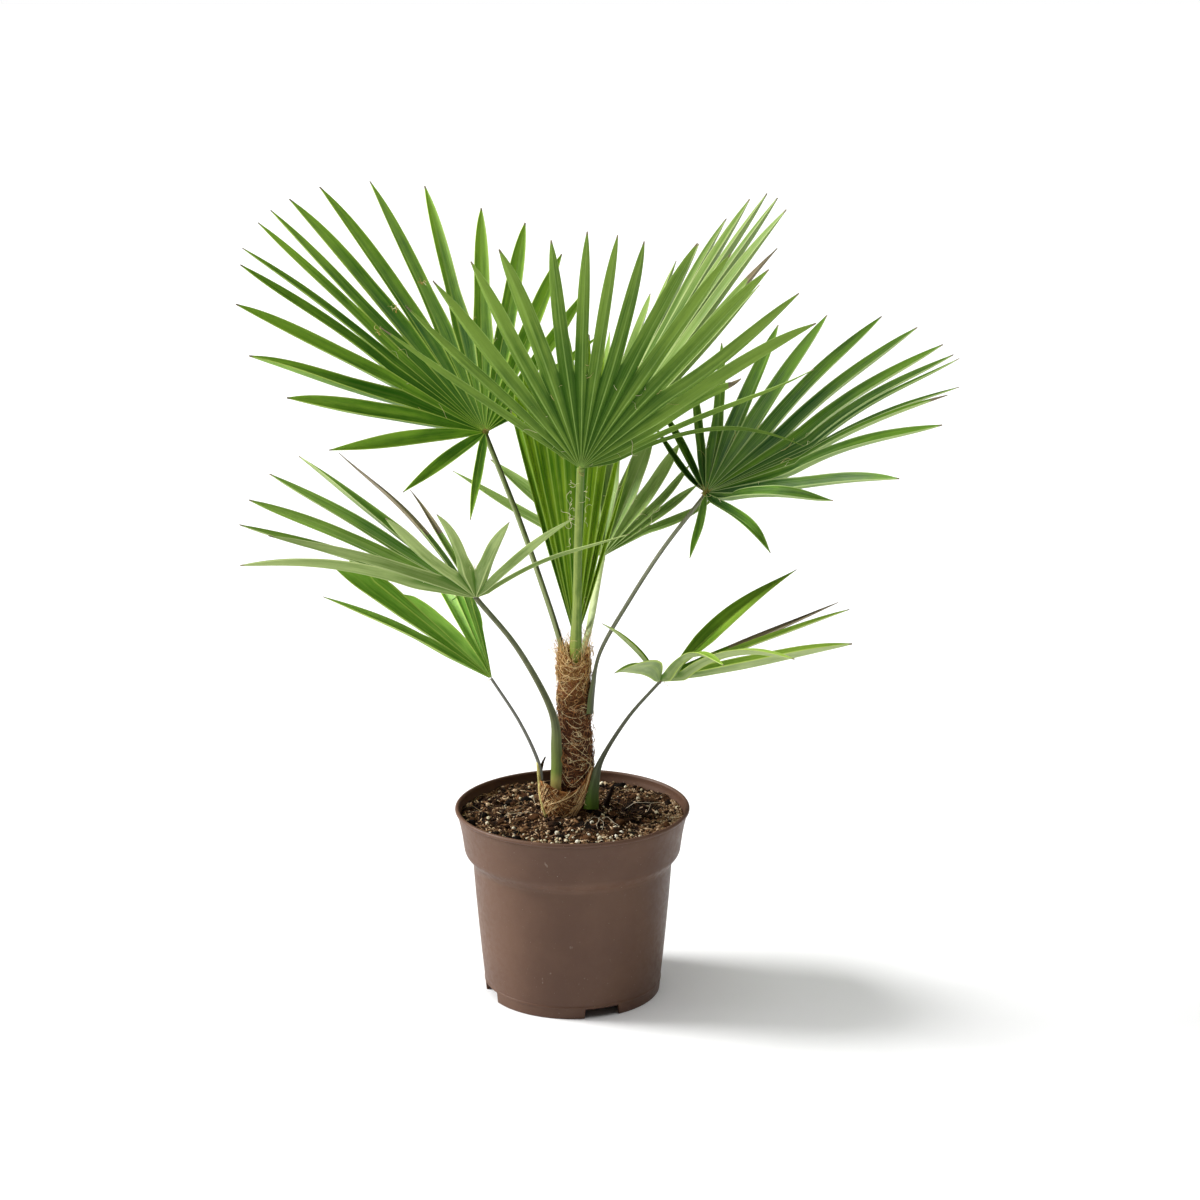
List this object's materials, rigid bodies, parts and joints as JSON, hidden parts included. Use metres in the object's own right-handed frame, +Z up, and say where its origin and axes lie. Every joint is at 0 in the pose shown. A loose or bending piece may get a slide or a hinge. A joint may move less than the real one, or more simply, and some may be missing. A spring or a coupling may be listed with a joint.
{
  "type": "potted windmill palm",
  "caption": "Young windmill palm with fan leaves on slender stalks over a short fibrous trunk, growing in a tapered nursery pot of soil.",
  "frame": {"origin": "middle of the whole plant's bounding box, on the plane that the pot stands on; the pot's own axis is at x -0.0235, y -0.045", "axes": "+Z up, the plant's front towards -Y, +X to the right seen from the front"},
  "size_m": [0.5709, 0.4561, 0.6482],
  "materials": {
    "pot_plastic": "matte taupe-brown moulded plastic with fine scuffs",
    "potting_soil": null,
    "trunk_fibre": "matted brown leaf-base fibre",
    "leaf_stalk": "satin green with pale margins",
    "leaf_blade": null,
    "perlite": "matt cream grains",
    "bark": "rough brown chips"
  },
  "bodies": {
    "root": {"pot": "pot_plastic", "soil": "potting_soil", "trunk": "trunk_fibre", "dead_leaf_base": "trunk_fibre", "left_stalk": "leaf_stalk", "left_blade": "leaf_blade", "front_stalk": "leaf_stalk", "front_blade": "leaf_blade", "right_stalk": "leaf_stalk", "right_blade": "leaf_blade", "back_right_stalk": "leaf_stalk", "back_right_blade": "leaf_blade", "back_stalk": "leaf_stalk", "back_blade": "leaf_blade", "young_stalk": "leaf_stalk", "young_blade": "leaf_blade", "low_front_left_stalk": "leaf_stalk", "low_front_left_blade": "leaf_blade", "low_left_stalk": "leaf_stalk", "low_left_blade": "leaf_blade", "low_right_stalk": "leaf_stalk", "low_right_blade": "leaf_blade", "perlite_1": "perlite", "perlite_2": "perlite", "perlite_3": "perlite", "perlite_4": "perlite", "perlite_5": "perlite", "perlite_6": "perlite", "bark_chip_1": "bark", "bark_chip_2": "bark", "bark_chip_3": "bark", "bark_chip_4": "bark"}
  },
  "joints": []
}
